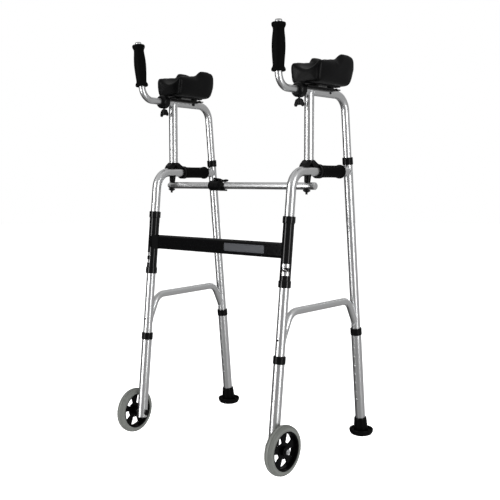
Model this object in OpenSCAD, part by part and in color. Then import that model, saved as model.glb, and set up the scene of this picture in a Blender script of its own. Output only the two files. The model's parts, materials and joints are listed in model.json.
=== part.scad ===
// Folding upright walker with forearm rests, front wheels and rear feet.
// Millimetres. X to the right, Y to the rear, Z up, floor at Z = 0.
// Each side frame is drawn in its own upright plane: its front leg meets the floor at the plane's origin.

/* [Stance] */
// Distance between the front legs on the floor
leg_span = 478; // [440:1:540]
// Distance from a front leg to its rear leg on the floor
leg_base = 403; // [380:1:440]
// Lean of the legs from upright, in degrees
rake = 6; // [4:0.5:8]
// How far each side frame opens outwards to the rear, in degrees
splay = 2; // [0:0.5:4]

/* [Tubes] */
// Outside diameter of the lower leg tubes
leg_tube_d = 28.2; // [28.2:0.1:29.8]
// Outside diameter of the main frame tubes
frame_tube_d = 25; // [23.3:0.1:25]
// Outside diameter of the arm frame tube
arm_tube_d = 21.8; // [20.8:0.1:21.8]
// Outside diameter of the upright handle tube
handle_tube_d = 18.6; // [16.8:0.1:18.6]
// Outside diameter of the side brace tube
brace_tube_d = 19; // [14:0.5:20]
// Outside diameter of the folding bar
bar_d = 19; // [16:0.5:19]
// Wall of every tube
tube_wall = 1.5; // [1.2:0.1:1.5]
// Radial clearance where one tube slides or turns in another
slide_gap = 0.1; // [0.05:0.01:0.1]

/* [Heights] */
// Height of the hand grip axis
grip_z = 753; // [720:1:780]
// Height of the arm frame's top tube axis
arm_z = 956; // [920:1:1000]
// Height of the underside of the forearm pad above the top tube axis
pad_rise = 18; // [16:0.5:24]
// Height of the folding bar axis
bar_z = 715; // [700:1:722]
// Height of the middle of the flat cross bar
cross_z = 554; // [540:1:580]
// Height of the side brace axis
brace_z = 397; // [385:1:410]
// Height of the top of the lower leg tubes, front
front_leg_top = 286; // [276:1:296]
// Height of the top of the lower leg tubes, rear
rear_leg_top = 309; // [290:1:312]
// Height of the top of the rear frame tube
rear_tube_top = 786; // [775:1:800]
// Height of the lower end of the frame tubes inside the lower legs
frame_tube_low = 80; // [74:1:84]

/* [Height setting] */
// Height of the spring button
button_z = 108; // [104:1:112]
// Pitch of the setting holes
hole_pitch = 26; // [22:0.5:26]
// Setting holes in each lower leg, with the one in use
hole_count = 7; // [5:1:7]
// Diameter of the setting holes
hole_d = 7; // [6:0.1:7]
// Diametral clearance of the button in its holes
button_gap = 0.5; // [0.3:0.1:0.6]

/* [Wheels and feet] */
// Diameter of the front wheels
wheel_d = 127; // [118:1:135]
// Width of the tyres
tyre_w = 24; // [20:1:26]
// Radial thickness of the tyres
tyre_t = 14; // [11:0.5:15]
// Crown radius of the tyres
tyre_crown = 14; // [13.5:0.5:18]
// Gap from the leg tube to the wheel
wheel_gap = 5; // [4:0.5:8]
// Diameter of the wheel axle
axle_d = 8; // [7:0.5:9]
// Openings between the wheel spokes
spoke_count = 5; // [4:1:6]
// Diameter of the rear foot flange
foot_d = 69; // [60:1:74]
// Height of the rear foot
foot_h = 53; // [44:1:56]

/* [Sleeves and cross bar] */
// Height of the lower end of the sleeves
sleeve_low = 462; // [450:1:475]
// Height of the upper end of the sleeves
sleeve_top = 640; // [625:1:650]
// Wall of the sleeves
sleeve_wall = 1.7; // [1.4:0.1:2.2]
// Length of the sleeve end collars
sleeve_collar_h = 18; // [12:1:22]
// Radial step of every end collar
collar_step = 1.9; // [1.4:0.1:2.5]
// Height of the flat cross bar
cross_h = 40; // [32:1:44]
// Thickness of the flat cross bar
cross_t = 15; // [12:0.5:18]
// Length of the end sockets of the cross bar
socket_l = 12; // [8:1:18]
// Forward step of the rounded cheek on the left sleeve
cheek_step = 3.4; // [3:0.2:5]

/* [Folding bar] */
// Distance of the bar's pivot behind the front leg, at floor level
pivot_y = 139; // [134:1:144]
// Diameter of the pivot bolts
pivot_d = 6; // [5:0.5:7]
// Place of the bar joint along X
joint_x = -43; // [-70:1:0]
// Gap between the clasp and the nose of the right half
joint_gap = 8; // [7:0.5:9]
// Length of the clasp body on the left half
clasp_l = 38; // [32:1:46]
// Reach of the clasp lips past the joint
lip_l = 10; // [8:1:12]
// Gap of the clasp lips to the nose
lip_gap = 0.6; // [0.4:0.1:1]

/* [Grips and pads] */
// Outside diameter of the hand grips
hand_grip_d = 33; // [30:0.5:36]
// Length of the hand grips
hand_grip_l = 101; // [90:1:104]
// Outside diameter of the upright grips
handle_grip_d = 34; // [30:0.5:38]
// Length of the upright grips
handle_grip_l = 116; // [100:1:130]
// Distance of the upright handle from the front leg, at floor level
handle_y = 23; // [16:1:28]
// Height of the top of the upright handle above the top tube axis
handle_h = 159; // [150:1:180]
// Width of the forearm pads
pad_w = 98; // [90:1:104]
// Width of the pads' underside
pad_base = 90; // [80:1:92]
// Height of the pad walls at the front
pad_h = 56; // [52:1:62]
// Height of the trough floor above the pad's underside
pad_floor = 36; // [30:1:38]
// Extra height of the pad walls at the rear
pad_bump = 24; // [16:1:26]
// Place of the pad's front face
pad_front = 126; // [124:1:132]
// Place of the rear edge of the pad's underside
pad_rear = 258; // [250:1:265]
// Outward turn of the left upright handle in its clamp, in degrees
handle_turn = 6; // [0:1:12]

/* [Hidden] */
$fn = 48;
sides_small = 32;
fit_gap = 0.05;
cut = 1;
bend_slim = 0.04;
bend_lap = 0.5;

leg_r = leg_tube_d / 2;
frame_r = frame_tube_d / 2;
arm_r = arm_tube_d / 2;
bar_r = bar_d / 2;
wheel_r = wheel_d / 2;
foot_r = foot_d / 2;
lean = tan(rake);
leg_bore_r = frame_r + slide_gap;
sleeve_r = frame_r + slide_gap + sleeve_wall;
wheel_x = leg_r + wheel_gap + tyre_w / 2;
reach_rear = leg_base * cos(splay) + foot_r;
reach_front = (lean * wheel_r - wheel_r) * cos(splay) - wheel_x * sin(splay);
front_y = -(reach_rear + reach_front) / 2;

grip_bend = 50;
arm_bend = 46;
handle_stub = 6;
handle_bend = handle_h - handle_stub - handle_grip_l - 1;
brace_bend = 40;
brace_foot_front = 315;
brace_foot_rear = 322;
brace_corner = 40;

collar_h = 20;
collar_below = 14;
rear_collar_r = frame_r + collar_step;
leg_end = 14;
upright_low = 40;

hub_r = wheel_r - tyre_t;
axle_r = axle_d / 2;
nut_r = 7.5;
nut_h = 6;
head_h = 5;

post_y = pivot_y + lean * (grip_z + frame_r - bar_z) + 2;
post_low = grip_z + frame_r + 11.5;
saddle_w = 18;
saddle_ring = 8;
saddle_rear = post_y + 40;
grip_front = saddle_rear + 0.4;

clamp_y = pad_front - 21;
clamp_l = 30;
clamp_r = 19;
arm_front = clamp_y - 3;
handle_in = 97;
wing_w = 29;
wing_h = 20;
screw_r = 3;

rail_front = 131;
rail_rear = 273;
rail_w = 15;
rail_t = 3.2;
plate_w = 46;
plate_t = 2.5;
plate_front = 158;
plate_rear = 250;
setting_hole_r = 1.6;
setting_holes = [169, 187, 205];
side_bolt_y = 223;

pad_soft = 6;
pad_edge = 25;
pad_crest = 15;

// Place on a leg axis, in the side frame's plane, at a height above the floor.
function front_at(z) = lean * z;
function rear_at(z) = leg_base - lean * z;

// The right side frame's plane, and its mirror image on the left.
module on_right() {
    translate([leg_span / 2, front_y, 0])
        rotate([0, 0, -splay])
            children();
}

module on_left() {
    mirror([1, 0, 0])
        on_right()
            children();
}

// The left clamp and handle, turned outwards about the top tube.
module on_left_turned() {
    on_left()
        translate([0, 0, arm_z])
            rotate([0, handle_turn, 0])
                translate([0, 0, -arm_z])
                    children();
}

// Along a leg axis, upwards from a height above the floor.
module on_front_leg(z) {
    translate([0, front_at(z), z])
        rotate([-rake, 0, 0])
            children();
}

module on_rear_leg(z) {
    translate([0, rear_at(z), z])
        rotate([rake, 0, 0])
            children();
}

// Along the pivot bolt, upwards from the folding bar's axis.
module on_pivot() {
    translate([0, pivot_y, bar_z])
        rotate([-rake, 0, 0])
            children();
}

// Across the top tube's axis, pointing to the rear.
module on_arm(y) {
    translate([0, y, arm_z])
        rotate([-90, 0, 0])
            children();
}

// Along the hand grip's axis, pointing to the rear.
module on_grip(y) {
    translate([0, y, grip_z])
        rotate([-90, 0, 0])
            children();
}

module ring(h, outer, inner) {
    difference() {
        cylinder(h = h, r = outer);
        translate([0, 0, -cut])
            cylinder(h = h + 2 * cut, r = inner);
    }
}

// A collar with softened edges.
module soft_ring(h, outer, inner, soft = 1.2) {
    rotate_extrude()
        polygon([[inner, 0], [outer - soft, 0], [outer, soft], [outer, h - soft], [outer - soft, h], [inner, h]]);
}

// Round bars through points of the frame's plane, bent at each inner point.
// A bend is a hair slimmer than the straights, which lap over its ends, as on a drawn tube.
function unit(v) = v / norm(v);
function point(p) = [0, p[0], p[1]];
function bend_turn(a, b, c) = acos(unit(b - a) * unit(c - b));
function bend_tangent(a, b, c, r) = r * tan(bend_turn(a, b, c) / 2);

module straight_rod(a, b, d) {
    run = b - a;
    translate(a)
        rotate([0, acos(run[2] / norm(run)), atan2(run[1], run[0])])
            cylinder(h = norm(run), d = d);
}

module elbow(a, b, c, r, d) {
    u = unit(b - a);
    w = unit(c - b);
    turn = acos(u * w);
    middle = b + unit(w - u) * r / cos(turn / 2);
    e = unit(b - u * r * tan(turn / 2) - middle);
    n = cross(e, u);
    multmatrix([[e[0], u[0], n[0], middle[0]], [e[1], u[1], n[1], middle[1]], [e[2], u[2], n[2], middle[2]]])
        rotate_extrude(angle = turn)
            translate([r, 0])
                circle(d = d);
}

module bent_rod(path, r, d, longer = 0) {
    last = len(path) - 1;
    points = [for (p = path) point(p)];
    for (i = [0 : last - 1]) {
        run = unit(points[i + 1] - points[i]);
        from = i == 0 ? -longer : bend_tangent(points[i - 1], points[i], points[i + 1], r) - bend_lap;
        to = i == last - 1 ? -longer : bend_tangent(points[i], points[i + 1], points[i + 2], r) - bend_lap;
        straight_rod(points[i] + run * from, points[i + 1] - run * to, d);
    }
    for (i = [1 : last - 1])
        elbow(points[i - 1], points[i], points[i + 1], r, d - bend_slim);
}

module bent_tube(path, r, d, wall = tube_wall) {
    difference() {
        bent_rod(path, r, d);
        bent_rod(path, r, d - 2 * wall, cut);
    }
}

// Cross bar and sleeves: the fixed middle that both side frames turn on.
// A stub square to the cross bar, with a tongue that fits inside it.
module sleeve_stub() {
    translate([0, front_at(cross_z), cross_z])
        rotate([0, 0, splay])
            rotate([90, 0, -90]) {
                linear_extrude(height = sleeve_r + socket_l)
                    cross_outline(0);
                linear_extrude(height = sleeve_r + 2 * socket_l)
                    cross_outline(tube_wall + fit_gap);
            }
}

// The left stub's cheek, rounded off in front of the tube.
module sleeve_cheek() {
    reach = sleeve_r + socket_l;
    front = sleeve_r + cheek_step;
    translate([0, front_at(cross_z), cross_z])
        rotate([0, 0, splay])
            intersection() {
                translate([0, 0, -cross_h])
                    linear_extrude(height = 2 * cross_h)
                        polygon([[1, -2], [1, -front], [-sleeve_r, -front], [-reach, -cross_t / 2], [-reach, -2]]);
                rotate([90, 0, 0])
                    linear_extrude(height = 2 * front) {
                        translate([-cross_h / 2, 0])
                            circle(d = cross_h);
                        translate([-reach - 1, -cross_h / 2])
                            square([reach + 1 - cross_h / 2, cross_h]);
                    }
            }
}

module sleeve_window(z) {
    on_front_leg(z)
        rotate([0, 0, -103])
            rotate_extrude(angle = 110)
                translate([frame_r, -5])
                    square([sleeve_wall + 3, 10]);
}

module sleeve(cheek = false) {
    length = (sleeve_top - sleeve_low) / cos(rake);
    color("black")
        difference() {
            union() {
                on_front_leg(sleeve_low) {
                    cylinder(h = length, r = sleeve_r);
                    soft_ring(sleeve_collar_h, sleeve_r + collar_step, frame_r + slide_gap);
                    translate([0, 0, length - sleeve_collar_h])
                        soft_ring(sleeve_collar_h, sleeve_r + collar_step, frame_r + slide_gap);
                }
                sleeve_stub();
                if (cheek)
                    sleeve_cheek();
            }
            on_front_leg(sleeve_low - cut)
                cylinder(h = length + 3 * cut, r = frame_r + slide_gap);
            sleeve_window(sleeve_low + sleeve_collar_h + 17);
            sleeve_window(sleeve_low + sleeve_collar_h + 37);
        }
}

module cross_outline(inset) {
    round_r = cross_t / 2 - inset;
    for (s = [-1, 1])
        translate([0, s * (cross_h - cross_t) / 2])
            circle(r = round_r);
    square([2 * round_r, cross_h - cross_t], center = true);
}

module cross_bar() {
    end_x = leg_span / 2 + front_at(cross_z) * sin(splay) - sleeve_r - socket_l - 0.4;
    color("black")
        translate([-end_x, front_y + front_at(cross_z) * cos(splay), cross_z])
            rotate([90, 0, 90])
                linear_extrude(height = 2 * end_x)
                    difference() {
                        cross_outline(0);
                        cross_outline(tube_wall);
                    }
}

// Side frame tubes.
module button_hole() {
    rotate([-90, 0, 0])
        cylinder(h = leg_r + cut, d = hole_d);
}

module front_tube() {
    path = [[front_at(frame_tube_low), frame_tube_low], [front_at(grip_z), grip_z], [rear_at(grip_z) - 3, grip_z]];
    color("silver")
        difference() {
            bent_tube(path, grip_bend, frame_tube_d);
            on_rear_leg(grip_z - leg_tube_d)
                cylinder(h = 2 * leg_tube_d, r = frame_r + fit_gap);
            on_front_leg(button_z)
                button_hole();
            on_pivot()
                cylinder(h = 2 * (grip_z - bar_z), d = pivot_d + 2 * fit_gap);
        }
}

module rear_tube() {
    color("silver")
        difference() {
            on_rear_leg(frame_tube_low)
                ring((rear_tube_top - frame_tube_low) / cos(rake), frame_r, frame_r - tube_wall);
            on_rear_leg(button_z)
                rotate([0, 0, 180])
                    button_hole();
        }
}

module side_brace() {
    path = [[front_at(brace_foot_front), brace_foot_front],
        [front_at(brace_foot_front) + brace_corner, brace_z],
        [rear_at(brace_foot_rear) - brace_corner, brace_z],
        [rear_at(brace_foot_rear), brace_foot_rear]];
    color("silver")
        difference() {
            bent_tube(path, brace_bend, brace_tube_d);
            on_front_leg(brace_foot_front - brace_tube_d)
                cylinder(h = 2 * (brace_z - brace_foot_front), r = frame_r + fit_gap);
            on_rear_leg(brace_foot_rear - brace_tube_d)
                cylinder(h = 2 * (brace_z - brace_foot_rear), r = frame_r + fit_gap);
        }
}

module hand_grip() {
    r = hand_grip_d / 2;
    flange = 2;
    bore = frame_r + fit_gap;
    color("dimgray")
        on_grip(grip_front)
            rotate_extrude()
                polygon([[bore, 0], [r + 1, 0], [r + flange, 1.5], [r + flange, 6], [r, 9],
                    [r - 0.6, hand_grip_l / 2], [r, hand_grip_l - 11], [r + flange, hand_grip_l - 8],
                    [r + flange, hand_grip_l - 2], [r + 0.5, hand_grip_l], [bore, hand_grip_l]]);
}

// Saddle that carries the arm frame's post on the handle, with a window between its two legs.
module saddle() {
    top = post_low + 4.5;
    socket_r = frame_r + 1.4;
    tube_top = grip_z + frame_r;
    base = tube_top - 6;
    ring_front = saddle_rear - saddle_ring;
    color("black")
        difference() {
            union() {
                translate([-saddle_w / 2, 0, 0])
                    rotate([90, 0, 90])
                        linear_extrude(height = saddle_w)
                            polygon([[post_y - 29, base], [post_y - 28.5, tube_top + 1], [post_y - 24, tube_top + 7],
                                [post_y - 18, tube_top + 12], [post_y - socket_r + 1, top], [post_y + socket_r - 1, top],
                                [post_y + 19, tube_top + 12], [post_y + 28, tube_top + 7],
                                [saddle_rear - 1, tube_top + 4], [saddle_rear - 1, base], [ring_front - 4, base],
                                [post_y + 14, base], [post_y + 1, post_low - 2.6], [post_y - 18, base]]);
                translate([0, post_y, post_low - 2])
                    cylinder(h = top - post_low + 2, r = socket_r);
                on_grip(ring_front)
                    rotate_extrude()
                        polygon([[0, 0], [frame_r + 5, 0], [frame_r + 6, 1], [frame_r + 6, saddle_ring - 1],
                            [frame_r + 5, saddle_ring], [0, saddle_ring]]);
            }
            on_grip(front_at(grip_z) + grip_bend - 8)
                cylinder(h = 140, r = frame_r + fit_gap);
            elbow(point([front_at(sleeve_top), sleeve_top]), point([front_at(grip_z), grip_z]),
                point([rear_at(grip_z), grip_z]), grip_bend, frame_tube_d + 0.8);
            translate([0, post_y, post_low])
                cylinder(h = top, r = frame_r + fit_gap);
        }
}

// Pivot bolt with a low head on the grip tube and a cap nut under the folding bar.
module pivot_bolt() {
    head_at = (grip_z + frame_r - bar_z) / cos(rake) + 0.6;
    color("dimgray")
        on_pivot() {
            translate([0, 0, -bar_r - 12])
                cylinder(h = head_at + bar_r + 13, d = pivot_d);
            translate([0, 0, head_at])
                cylinder(h = 2, r1 = pivot_d * 0.85, r2 = pivot_d * 0.6);
            translate([0, 0, -bar_r - 6.4])
                rotate_extrude()
                    polygon([[0, 0], [5, 0], [9.5, 3], [9.5, 6], [0, 6]]);
        }
}

module pivot_spacer() {
    gap = 0.35;
    color("black")
        difference() {
            on_pivot()
                translate([0, 0, bar_r + gap])
                    cylinder(h = grip_z - bar_z - bar_r, r1 = 8, r2 = 10);
            on_grip(pivot_y - 60)
                cylinder(h = 140, r = frame_r + fit_gap);
            translate([-20, pivot_y - 40, grip_z])
                cube([40, 80, 40]);
            on_pivot()
                cylinder(h = 60, d = pivot_d + 2 * fit_gap);
        }
}

module post_collar() {
    below = collar_below / cos(rake);
    color("black")
        on_rear_leg(rear_tube_top)
            difference() {
                translate([0, 0, -below])
                    soft_ring(collar_h, rear_collar_r, arm_r + slide_gap);
                translate([0, 0, -below - cut])
                    cylinder(h = below + cut, r = frame_r + fit_gap);
            }
}

// Arm frame: one bent tube with a post welded under it.
module arm_frame() {
    low = rear_tube_top - upright_low;
    path = [[arm_front, arm_z], [rear_at(arm_z), arm_z], [rear_at(low), low]];
    color("silver")
        difference() {
            union() {
                bent_tube(path, arm_bend, arm_tube_d);
                difference() {
                    translate([0, post_y, post_low])
                        ring(arm_z - post_low, frame_r, frame_r - tube_wall);
                    on_arm(post_y - 40)
                        cylinder(h = 80, r = arm_r - tube_wall / 2);
                }
            }
            for (y = setting_holes)
                translate([-arm_tube_d, y, arm_z])
                    rotate([0, 90, 0])
                        cylinder(h = arm_tube_d, r = setting_hole_r);
            translate([-arm_tube_d, side_bolt_y, arm_z])
                rotate([0, 90, 0])
                    cylinder(h = 2 * arm_tube_d, r = screw_r);
            for (y = [rail_front + 7, rail_rear - 9])
                translate([0, y, arm_z])
                    cylinder(h = arm_tube_d, r = screw_r - 1);
        }
}

module pad_bracket() {
    rail_z = arm_z + arm_r - 0.6;
    plate_z = arm_z + pad_rise - plate_t;
    color("black")
        difference() {
            union() {
                translate([-rail_w / 2, rail_front, rail_z])
                    cube([rail_w, rail_rear - rail_front, rail_t]);
                translate([-plate_w / 2, plate_front, plate_z])
                    cube([plate_w, plate_rear - plate_front, plate_t]);
                for (y = [plate_front + 6, plate_rear - 18])
                    translate([-rail_w / 2 + 1, y, rail_z])
                        cube([rail_w - 2, 12, plate_z - rail_z + plate_t / 2]);
            }
            on_arm(rail_front - 10)
                cylinder(h = rail_rear - rail_front + 20, r = arm_r + fit_gap);
            for (y = [rail_front + 7, rail_rear - 9])
                translate([0, y, arm_z])
                    cylinder(h = 40, r = screw_r - 1 + fit_gap);
        }
}

module screws() {
    rail_top = arm_z + arm_r - 0.6 + rail_t;
    color("dimgray") {
        for (y = [rail_front + 7, rail_rear - 9])
            translate([0, y, rail_top]) {
                cylinder(h = 2.6, r1 = 4.2, r2 = 3.2);
                translate([0, 0, -rail_t - 0.5])
                    cylinder(h = rail_t + 0.5, r = screw_r - 1 - fit_gap);
            }
        difference() {
            translate([-arm_r - 2.4, side_bolt_y, arm_z])
                rotate([0, 90, 0]) {
                    cylinder(h = 2 * arm_r + 2.4 + 1.5, r = screw_r - fit_gap);
                    cylinder(h = 4, r = 4.4);
                }
            on_arm(side_bolt_y - 20)
                difference() {
                    cylinder(h = 40, r = arm_r + fit_gap);
                    translate([0, 20, 20])
                        rotate([90, 0, 0])
                            cylinder(h = 40, r = screw_r);
                    translate([-20, 0, 20])
                        rotate([0, 90, 0])
                            cylinder(h = 40, r = screw_r);
                }
        }
        difference() {
            on_front_leg(brace_foot_front + 16)
                rotate([90, 0, 0])
                    cylinder(h = frame_r + 1.8, r1 = 3.6, r2 = 2.8);
            on_front_leg(brace_foot_front)
                cylinder(h = 40, r = frame_r + fit_gap);
        }
    }
}

// Forearm pad: a padded trough, lofted from its front face to its rounded rear end.
// A section runs under the pad to the crest of its right wall and back through the trough, and so on the left.
function smooth(t) = t * t * (3 - 2 * t);
function clip(t) = min(1, max(0, t));
function pad_wall(u) = pad_h + 11 * clip(u / 0.55) + (pad_bump - 11) * smooth(clip((u - 0.48) / 0.18))
    - 3 * smooth(clip((u - 0.8) / 0.2));
function pad_inset(u) = pad_soft * (1 - sqrt(1 - pow(1 - min(1, pad_edge * min(u, 1 - u)), 2)));
function pad_start(z) = pad_front + 3 - 3 * sin(180 * clip((z + 8) / 72));
function pad_end(z) = pad_rear + 23 * sin(180 * clip((z + 8) / 104));
function pad_point(u, p) = [p[0], pad_start(p[1]) + (pad_end(p[1]) - pad_start(p[1])) * u, arm_z + pad_rise + p[1]];
function pad_hollow(s, i, h) = pad_floor - 0.8 * i + (pad_h - 4.5 - pad_floor - 0.2 * i) * pow(s, 2.6)
    + (h + i - pad_h) * pow(s, 6);
function pad_half(u) =
    let (i = pad_inset(u), h = pad_wall(u) - i, top = pad_w / 2 + 1.5 * sin(180 * u) - i, low = pad_base / 2 - i)
    let (crest = pad_crest - 1.6 * i, inner = top - crest)
    concat([[low - 11, i], [low - 4.2, i + 1.6], [low - 0.6, i + 6], [low + 0.4, i + 13],
        [low + (top - low) * 0.7, h * 0.55], [top, h - 10], [top - 0.08 * crest, h - 4.4],
        [top - 0.26 * crest, h - 1.1], [top - 0.5 * crest, h], [top - 0.76 * crest, h - 1], [inner, h - 4.5]],
        [for (s = [0.86, 0.7, 0.5, 0.27]) [inner * s, pad_hollow(s, i, h)]]);
function pad_section(u) =
    let (half = pad_half(u), i = pad_inset(u), n = len(half))
    concat([[0, i]], half, [[0, pad_floor - 0.8 * i]], [for (k = [n - 1 : -1 : 0]) [-half[k][0], half[k][1]]]);

module arm_pad() {
    us = [0, 0.006, 0.02, 0.04, 0.1, 0.18, 0.28, 0.38, 0.46, 0.52, 0.57, 0.62, 0.68, 0.76, 0.84, 0.91, 0.96, 0.98, 0.994, 1];
    ring_n = len(pad_section(0));
    points = [for (u = us) each [for (p = pad_section(u)) pad_point(u, p)]];
    walls = [for (k = [0 : len(us) - 2]) for (j = [0 : ring_n - 1])
        let (a = k * ring_n + j, b = k * ring_n + (j + 1) % ring_n)
        each [[a, b, b + ring_n], [a, b + ring_n, a + ring_n]]];
    half_end = [[8, 9, 10], [7, 8, 10], [7, 10, 11], [6, 7, 11], [6, 11, 12], [5, 6, 12], [5, 12, 13], [4, 5, 13],
        [4, 13, 14], [3, 4, 14], [2, 3, 14], [2, 14, 15], [1, 2, 15], [1, 15, 16], [0, 1, 16]];
    other = [for (f = half_end) [for (k = [2, 1, 0]) (ring_n - f[k]) % ring_n]];
    end = concat(half_end, other);
    last = (len(us) - 1) * ring_n;
    front = [for (f = end) [f[2], f[1], f[0]]];
    rear = [for (f = end) [last + f[0], last + f[1], last + f[2]]];
    color("black")
        polyhedron(points = points, faces = concat(walls, front, rear));
}

// Upright handle, the clamp that holds it and the clamp's wing screw.
module clamp_collar() {
    half = clamp_l / 2;
    color("black")
        difference() {
            on_arm(clamp_y - half)
                rotate_extrude()
                    difference() {
                        intersection() {
                            translate([0, half])
                                circle(r = clamp_r + 1.5);
                            square([clamp_r, clamp_l]);
                        }
                        square([handle_tube_d / 2 + slide_gap, clamp_l]);
                        translate([0, arm_front - clamp_y + half - 0.4])
                            square([arm_r + slide_gap, clamp_l]);
                    }
            translate([0, clamp_y, arm_z - clamp_r - 5])
                cylinder(h = clamp_r, r = screw_r + slide_gap);
        }
}

module wing_screw() {
    top = arm_z - arm_r - 0.5;
    stem_end = arm_z - clamp_r - 3;
    color("black")
        translate([0, clamp_y, 0]) {
            translate([0, 0, stem_end - 3])
                cylinder(h = top - stem_end + 3, r = screw_r);
            translate([0, 0, stem_end - wing_h + 4])
                cylinder(h = wing_h - 4, r1 = 5, r2 = 6.4);
            translate([0, 2.6, stem_end])
                rotate([90, 0, 0])
                    linear_extrude(height = 5.2)
                        polygon([[-5, 0], [5, 0], [wing_w * 0.36, -3], [wing_w / 2, -wing_h + 6],
                            [wing_w / 2 - 1, -wing_h + 1], [wing_w / 2 - 4, -wing_h], [wing_w * 0.22, -wing_h + 4],
                            [-wing_w * 0.22, -wing_h + 4], [-wing_w / 2 + 4, -wing_h], [-wing_w / 2 + 1, -wing_h + 1],
                            [-wing_w / 2, -wing_h + 6], [-wing_w * 0.36, -3]]);
        }
}

module handle_tube() {
    cap_h = 3;
    top = arm_z + handle_h;
    color("silver") {
        bent_tube([[arm_front + handle_in, arm_z], [handle_y, arm_z], [handle_y, top - cap_h]],
            handle_bend, handle_tube_d);
        translate([0, handle_y, top - cap_h])
            cylinder(h = cap_h, r1 = handle_tube_d / 2, r2 = handle_tube_d / 2 - 1);
    }
}

module handle_grip() {
    r = handle_grip_d / 2;
    bore = handle_tube_d / 2 + fit_gap;
    l = handle_grip_l;
    color("dimgray")
        translate([0, handle_y, arm_z + handle_h - handle_stub - l])
            rotate_extrude()
                polygon([[bore, 0], [r - 0.5, 0], [r + 0.6, 2], [r + 0.6, 6], [r - 2.6, 11], [r - 2.6, 17],
                    [r - 1, l * 0.32], [r, l * 0.5], [r - 0.8, l * 0.68], [r - 2.6, l - 20], [r - 2.6, l - 14],
                    [r + 0.6, l - 7], [r + 0.6, l - 2], [r - 0.5, l], [bore, l]]);
}

// Lower legs with their setting holes.
module setting_holes_row() {
    for (i = [0 : hole_count - 1])
        translate([0, 0, i * hole_pitch])
            button_hole();
}

module front_leg() {
    low = wheel_r - leg_end;
    color("silver")
        difference() {
            on_front_leg(low)
                ring((front_leg_top - low) / cos(rake), leg_r, leg_bore_r);
            on_front_leg(button_z)
                setting_holes_row();
            translate([-leg_tube_d, front_at(wheel_r), wheel_r])
                rotate([0, 90, 0])
                    cylinder(h = 2 * leg_tube_d, r = axle_r + fit_gap);
        }
}

module rear_leg() {
    low = foot_h * 0.25;
    color("silver")
        difference() {
            on_rear_leg(low)
                ring((rear_leg_top - low) / cos(rake), leg_r, leg_bore_r);
            on_rear_leg(button_z)
                rotate([0, 0, 180])
                    setting_holes_row();
        }
}

module leg_collar() {
    color("black")
        difference() {
            translate([0, 0, -collar_below])
                soft_ring(collar_h, leg_r + collar_step, leg_bore_r);
            translate([0, 0, -collar_below - cut])
                cylinder(h = collar_below + cut, r = leg_r + fit_gap);
        }
}

// Front wheel, on the outer side of its leg.
module on_axle(x) {
    translate([x, front_at(wheel_r), wheel_r])
        rotate([0, 90, 0])
            children();
}

module axle() {
    hub_end = wheel_x + tyre_w / 2 - 1;
    color("gainsboro")
        difference() {
            union() {
                on_axle(-leg_r - head_h)
                    cylinder(h = leg_r + head_h + hub_end + nut_h + 2, r = axle_r);
                on_axle(-leg_r - head_h + 1)
                    cylinder(h = head_h, r = nut_r, $fn = 6);
                on_axle(leg_r - 2)
                    cylinder(h = wheel_gap + 2.5, r = nut_r - 0.5);
                on_axle(hub_end + 0.5)
                    cylinder(h = nut_h - 0.5, r = nut_r, $fn = 6);
            }
            difference() {
                on_front_leg(wheel_r - 40)
                    cylinder(h = 80, r = leg_r + fit_gap);
                on_axle(-40)
                    cylinder(h = 80, r = axle_r);
            }
        }
}

module tyre() {
    color("gray")
        on_axle(wheel_x)
            rotate_extrude()
                difference() {
                    intersection() {
                        translate([wheel_r - tyre_crown, 0])
                            circle(r = tyre_crown);
                        translate([hub_r + fit_gap, -tyre_w / 2])
                            square([tyre_t, tyre_w]);
                    }
                    for (s = [-1, 1])
                        translate([wheel_r - 1, s * 4.6])
                            circle(r = 1.3);
                }
}

module wheel_hub() {
    half = tyre_w / 2 - 1;
    rim_t = 4;
    boss_r = 12;
    gap_in = boss_r + 9;
    gap_out = hub_r - rim_t;
    wedge = 360 / spoke_count;
    color("black")
        on_axle(wheel_x)
            difference() {
                union() {
                    translate([0, 0, -half])
                        ring(2 * half, hub_r, gap_out);
                    translate([0, 0, -half])
                        cylinder(h = 2 * half, r = boss_r);
                    translate([0, 0, -1])
                        linear_extrude(height = 5)
                            difference() {
                                circle(r = gap_out + 1);
                                for (i = [0 : spoke_count - 1])
                                    rotate(i * wedge)
                                        intersection() {
                                            difference() {
                                                circle(r = gap_out - 2);
                                                circle(r = gap_in);
                                            }
                                            polygon([[0, 0], [2 * hub_r, -hub_r * 0.74], [2 * hub_r, hub_r * 0.74]]);
                                        }
                            }
                }
                translate([0, 0, -half - cut])
                    cylinder(h = 2 * half + 2 * cut, r = axle_r + slide_gap);
            }
}

// Rear foot: a rubber tip with a wide upturned flange.
module foot() {
    neck_r = leg_r + 3.3;
    color("black")
        difference() {
            union() {
                translate([0, rear_at(0), 0])
                    rotate_extrude()
                        polygon([[0, 0], [foot_r - 11, 0], [foot_r - 5, 2.6], [foot_r - 1.2, 8.5], [foot_r, 15.5],
                            [foot_r - 1.6, 18], [foot_r - 3.6, 16.5], [foot_r - 6.5, 11.5], [neck_r + 5, 9], [0, 9]]);
                intersection() {
                    on_rear_leg(0)
                        translate([0, 0, -10])
                            rotate_extrude()
                                polygon([[0, 0], [neck_r + 5, 0], [neck_r + 4.4, 17], [neck_r + 2.8, 27],
                                    [neck_r + 0.4, foot_h + 6], [neck_r - 1, foot_h + 9.5], [0, foot_h + 9.5]]);
                    translate([-foot_d, rear_at(0) - foot_d, 2])
                        cube([2 * foot_d, 2 * foot_d, 2 * foot_h]);
                }
            }
            on_rear_leg(foot_h * 0.25)
                cylinder(h = 2 * foot_h, r = leg_r + fit_gap);
        }
}

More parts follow.
